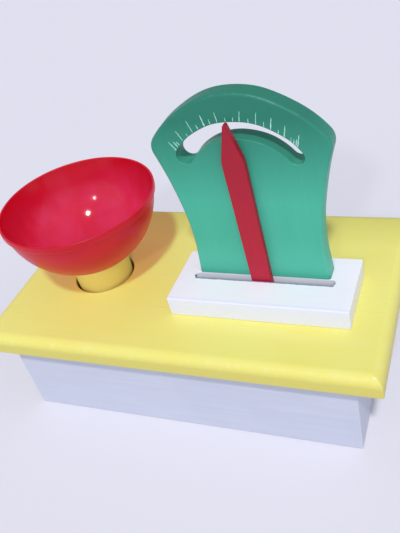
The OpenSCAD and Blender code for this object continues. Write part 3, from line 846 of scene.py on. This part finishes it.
def direction(angle):
    """The unit vector at this angle in degrees."""
    return Vector((math.cos(math.radians(angle)), math.sin(math.radians(angle))))


def window_outline():
    """The arc window, clockwise. Each round end meets the upper and the lower arc."""
    shift = window_centre - lower_arc_centre

    def end(angle):
        """Centre and radius of the round end in this direction, and its direction from below."""
        along_spoke = shift.dot(direction(angle))
        radius = (shift.dot(shift) + 2 * WINDOW_UPPER * along_spoke + WINDOW_UPPER ** 2
                  - WINDOW_LOWER ** 2) / (2 * (WINDOW_LOWER + WINDOW_UPPER + along_spoke))
        centre = window_centre + (WINDOW_UPPER - radius) * direction(angle)
        below = centre - lower_arc_centre
        return centre, radius, math.degrees(math.atan2(below.y, below.x))

    left_at, left_r, left_below = end(WINDOW_LEFT)
    right_at, right_r, right_below = end(WINDOW_RIGHT)
    return without_doubles(
        arc(window_centre, WINDOW_UPPER, WINDOW_LEFT, WINDOW_RIGHT, 56)
        + arc(right_at, right_r, WINDOW_RIGHT, right_below - 180, 14)
        + arc(lower_arc_centre, WINDOW_LOWER, right_below, left_below, 50)
        + arc(left_at, left_r, left_below + 180, WINDOW_LEFT, 14))


def dial():
    """The green dial board: softened edges all round, but for its foot, which is cut flat."""
    outline = wavy(evened(dial_outline(), 6 * MM), 0.5 * MM, 26 * MM, 5.0)
    window = wavy(window_outline(), 0.3 * MM, 14 * MM, 8.0)

    def outer(inset):
        loop = moved_in(outline, inset)
        for before, after in zip(outline, loop):
            if before.y < dial_lo.z + 0.8 * MM:
                after.y = dial_lo.z
        return loop

    # Painted shade darkens the green towards its top; painted light, for the bounce from the block and
    # board, makes it paler near its foot.
    green = paint("green_brushed_paint", *GREENS, axis=2, rub=0.1, relief=0.7,
                  fades=[(2, dial_lo.z + 66 * MM, dial_hi.z - 19 * MM, PAINTED_SHADE_GREEN),
                         (2, dial_lo.z + 34 * MM, dial_lo.z + 6 * MM, PAINTED_BOUNCE_LIGHT_GREEN)])
    obj = plate("green_dial", [
        (outer, 2.0 * MM, 1.6 * MM, None),
        (fixed_loop(window), 0.6 * MM, 0.5 * MM, None),
    ], dial_lo.y, dial_hi.y, upright_place, green)
    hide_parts("dial_board")
    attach(obj, "case")


def stroke(bm, base, lean, length, width):
    """One brush stroke on the dial's face: a low ridge of paint, broad at its foot and ragged."""
    up = Vector((math.sin(lean), math.cos(lean)))
    side = Vector((up.y, -up.x))
    steps = 9
    narrowing, blunt_end, ridge = 0.55, 0.45, 0.55
    uneven, most_sway = 0.3, 0.12 * MM
    front = dial_lo.y - 0.16 * MM
    back = dial_lo.y + 0.05 * MM
    rows = []
    for k in range(steps + 1):
        t = k / steps
        taper = (1 - narrowing * t) * (1 if 0 < k < steps else blunt_end)
        half = width / 2 * taper * (1 + uneven * random.uniform(-1, 1))
        sway = most_sway * random.uniform(-1, 1)
        middle = base + up * (length * t) + side * sway
        places = ((-half, back), (-half * ridge, front), (half * ridge, front), (half, back))
        points = [(middle + side * across, y) for across, y in places]
        rows.append([bm.verts.new((p.x, y, p.y)) for p, y in points])
    for a, b in zip(rows, rows[1:]):
        for i in range(4):
            j = (i + 1) % 4
            bm.faces.new((a[i], a[j], b[j], b[i]))
    bm.faces.new(rows[0])
    bm.faces.new(rows[-1])


def ticks():
    """The hand-painted marks round the window, long and short by turns and bunched at both ends."""
    bm = bmesh.new()
    # Angles are in degrees from straight up, lengths and widths in millimetres. From the swap on, the
    # even marks are the short ones.
    count, first, pitch, swap = 20, -51.3, 5.3, 10
    long_marks, short_marks = ((7.4, 9.4), (0.8, 1.3)), ((2.2, 4.2), (0.7, 1.0))
    end_marks = ((48.2, (4.0, 5.0), 1.2), (46.2, (3.0, 4.0), 1.0))
    left_lean, right_lean, right_lean_growth = 0.65, 9, 0.06
    gap = 0.5 * MM
    marks = []
    for i in range(count):
        angle = first + pitch * i + random.uniform(-0.5, 0.7)
        lengths, widths = long_marks if (i % 2 == 0) == (i < swap) else short_marks
        length = random.uniform(*lengths)
        marks.append((angle, length, random.uniform(*widths)))
    for side in (-1, 1):
        marks.extend((side * angle, random.uniform(*lengths), width) for angle, lengths, width in end_marks)
    for angle, length, width in marks:
        lean = left_lean * angle if angle < 0 else right_lean + right_lean_growth * angle
        base = window_centre + direction(90 - angle) * (WINDOW_UPPER + gap)
        stroke(bm, base, math.radians(lean), length * MM, width * MM)
    obj = finished("dial_strokes", bm, stroke_paint())
    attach(obj, "case")


# ---- The pointer ----

def pointer_outline():
    """A lath that widens a little to its rounded shoulders, then closes in two straight sides. Its
    numbers repeat the CAD's own."""
    foot, half, tip_r = 7.8 * MM, 8.1 * MM, 1.3 * MM
    slope, shoulder_r, tilt = 14.6, 30 * MM, 1.6
    tan_slope, sin_slope, cos_slope = (f(math.radians(slope)) for f in (math.tan, math.sin, math.cos))
    rise = pointer_hi.z - pivot.y
    wide = half - shoulder_r * (1 - cos_slope) - tip_r * cos_slope
    shoulder = rise - tip_r + tip_r * sin_slope - wide / tan_slope - shoulder_r * sin_slope
    tail = 10 * MM
    right = (
        arc((0, -tail), foot, -90, 0, 12)
        + [Vector((foot, block_hi.z - pivot.y))]
        + arc((half - shoulder_r, shoulder), shoulder_r, 0, slope, 10)
        + arc((0, rise - tip_r), tip_r, slope, 90, 5)
    )
    left = [Vector((-p.x, p.y)) for p in reversed(right)]
    lean = Matrix.Rotation(math.radians(tilt), 2)
    return without_doubles([lean @ p + pivot for p in right + left])


def pointer():
    """The red lath, with painted shade darkening it towards the top, and a grubby tip."""
    tip = max(pointer_outline(), key=lambda p: p.y)
    outline = wavy(evened(pointer_outline(), 6 * MM), 0.14 * MM, 22 * MM, 3.0)
    # Painted shade darkens the upper part; the spot at the tip is dirt.
    red = paint("red_brushed_paint", *REDS, axis=2, gloss=0.45,
                fades=[(2, block_hi.z + 30 * MM, pointer_hi.z, PAINTED_SHADE_RED_AT_THE_TOP)],
                chips_and_highlights=[((tip.x, pointer_hi.y, tip.y), 2.2 * MM, SOILED_TIP)])
    obj = plate("red_pointer", [
        (fixed_loop(outline), 0.6 * MM, 0.6 * MM, None),
        (fixed_loop(circle_hole(pivot.x, pivot.y, HUB_BORE, 48)), 0.3 * MM, 0.3 * MM, None),
    ], pointer_lo.y, pointer_hi.y, upright_place, red)
    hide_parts("pointer")
    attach(obj, "pointer_arm")


# ---- The bowl and its post ----

def bowl(red_key):
    """The bowl: a round shell whose mouth opens out softly inside a low band, to a thin lip."""
    rim_z = bowl_hi.z
    band_r = (bowl_hi.x - bowl_lo.x) / 2
    band_low = rim_z - 5 * MM
    lip = 0.8 * MM
    flare_deep = 16 * MM
    steps = 40

    def sphere_point(radius, share, top):
        """A point from the bottom of a sphere, at share 0, up to a height, at share 1."""
        end = math.acos((bowl_centre_z - top) / radius)
        return (radius * math.sin(end * share), bowl_centre_z - radius * math.cos(end * share))

    profile = [sphere_point(BOWL_OUTSIDE, i / steps, band_low - 0.5 * MM) for i in range(steps + 1)]
    profile += [(p.x, p.y) for p in arc((band_r - 0.9 * MM, band_low + 0.7 * MM), 0.9 * MM, -60, 0, 5)]
    profile += [(p.x, p.y) for p in arc((band_r - lip, rim_z - lip), lip, 0, 165, 9)]
    inner_rim_z = rim_z - lip
    inner_rim_r = sphere_point(BOWL_INSIDE, 1, inner_rim_z)[0]
    opening = band_r - 2 * lip - inner_rim_r
    for i in range(steps + 1):
        r, z = sphere_point(BOWL_INSIDE, 1 - i / steps, inner_rim_z)
        flare = max(0.0, 1 - (inner_rim_z - z) / flare_deep)
        profile.append((r + opening * flare ** 2, z))
    centre = (bowl_axis.x, bowl_axis.y, bowl_centre_z)
    obj = lathe("red_bowl", profile, bowl_axis, plastic(centre, BOWL_OUTSIDE), 192)
    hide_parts("bowl")
    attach(obj, "lift")
    let_through(red_key, obj)


def post(yellow):
    """The plug that carries the bowl: turned, with a hollow seat for it."""
    r = (post_hi.x - post_lo.x) / 2
    bevel = 0.7 * MM
    seat_edge = r - bevel
    steps = 12
    gap = 0.02 * MM

    def seat(radius):
        """The height of the seat at this distance from the axis, just clear of the bowl."""
        return bowl_centre_z - math.sqrt(BOWL_OUTSIDE ** 2 - radius ** 2) - gap

    profile = [(0, post_lo.z), (r - bevel - GUARD, post_lo.z)]
    profile += [(p.x, p.y) for p in arc((r - bevel, post_lo.z + bevel), bevel, -90, 0, 4)]
    profile += [(r, post_lo.z + 2 * bevel), (r, seat(seat_edge) - bevel)]
    profile += [(r - bevel * 0.3, seat(seat_edge) - bevel * 0.3), (seat_edge, seat(seat_edge))]
    inwards = [seat_edge * (1 - k / steps) for k in range(1, steps + 1)]
    profile += [(radius, seat(radius)) for radius in inwards]
    obj = lathe("yellow_post", profile, bowl_axis, yellow, 96)
    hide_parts("post")
    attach(obj, "lift")


# ---- The hidden lift ----

def springs(steel):
    """Both springs as round wire, built where the CAD's springs stand."""
    turns, per_turn, sides = 6, 32, 10
    wire = 0.6 * MM
    for node in ("spring_front", "spring_rear"):
        lo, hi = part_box(node)
        middle = (lo + hi) / 2
        mean = (hi.x - lo.x) / 2 - wire
        height = hi.z - lo.z - 2 * wire
        bm = bmesh.new()
        rings = []
        for i in range(turns * per_turn + 1):
            t = i / (turns * per_turn)
            a = 2 * math.pi * turns * t
            ring = []
            for k in range(sides):
                b = 2 * math.pi * k / sides
                r = mean + wire * math.cos(b)
                z = lo.z + wire * (1 + math.sin(b)) + height * t
                ring.append(bm.verts.new((middle.x + r * math.cos(a), middle.y + r * math.sin(a), z)))
            rings.append(ring)
        for a, b in zip(rings, rings[1:]):
            for i in range(sides):
                j = (i + 1) % sides
                bm.faces.new((a[i], a[j], b[j], b[i]))
        bm.faces.new(rings[0])
        bm.faces.new(rings[-1])
        obj = finished(node + "_wire", bm, steel)
        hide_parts(node)
        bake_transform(obj)


def cad_materials(steel):
    """Better materials for the CAD parts that stay: they keep their own shapes."""
    ply = raw_wood("sanded_plywood", (0.66, 0.48, 0.28), (0.50, 0.33, 0.17), 0)
    ply_across = raw_wood("sanded_plywood_across", (0.64, 0.46, 0.27), (0.48, 0.31, 0.16), 1)
    beech = raw_wood("beech_dowel", (0.68, 0.47, 0.29), (0.55, 0.35, 0.20), 2)
    rod = metal("drawn_steel", (0.66, 0.67, 0.69), (0.50, 0.51, 0.53), 2, 0.24)
    axle = metal("axle_steel", (0.66, 0.67, 0.69), (0.50, 0.51, 0.53), 1, 0.24)
    brass = metal("turned_brass", (0.78, 0.58, 0.26), (0.58, 0.40, 0.16), 2)
    rubber = soft_stuff("black_rubber", (0.030, 0.030, 0.033), (0.015, 0.015, 0.017), 900, 0.00005,
                        {"Specular IOR Level": 0.35})
    felt = soft_stuff("grey_felt", (0.22, 0.215, 0.20), (0.12, 0.118, 0.11), 1700, 0.0003,
                      {"Sheen Weight": 0.4, "Specular IOR Level": 0.1})
    finishes = {
        ply: ("bottom_panel", "lift_plate", "front_cleat", "back_cleat", "crank"),
        ply_across: ("corner_blocks", "bracket_front", "bracket_rear"),
        beech: ("dial_dowels",),
        rod: ("guide_rods",),
        axle: ("axle", "axle_collars", "link_pin"),
        brass: ("axle_washers", "hub_bush", "guide_bushes"),
        rubber: ("stop_bumpers",),
        felt: ("stop_pads",),
        steel: ("spring_washers", "dial_screws", "block_screws", "board_screws", "bottom_screws",
                "bracket_screws", "crank_screws", "post_screws"),
    }
    for material, names in finishes.items():
        for name in names:
            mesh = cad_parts[name].data
            mesh.materials.clear()
            mesh.materials.append(material)


camera()
red_key = studio()
steel = metal("zinc_steel", (0.62, 0.64, 0.67), (0.46, 0.47, 0.49), 2)
yellow = board()
box_panels()
block()
dial()
ticks()
pointer()
bowl(red_key)
post(yellow)
springs(steel)
cad_materials(steel)
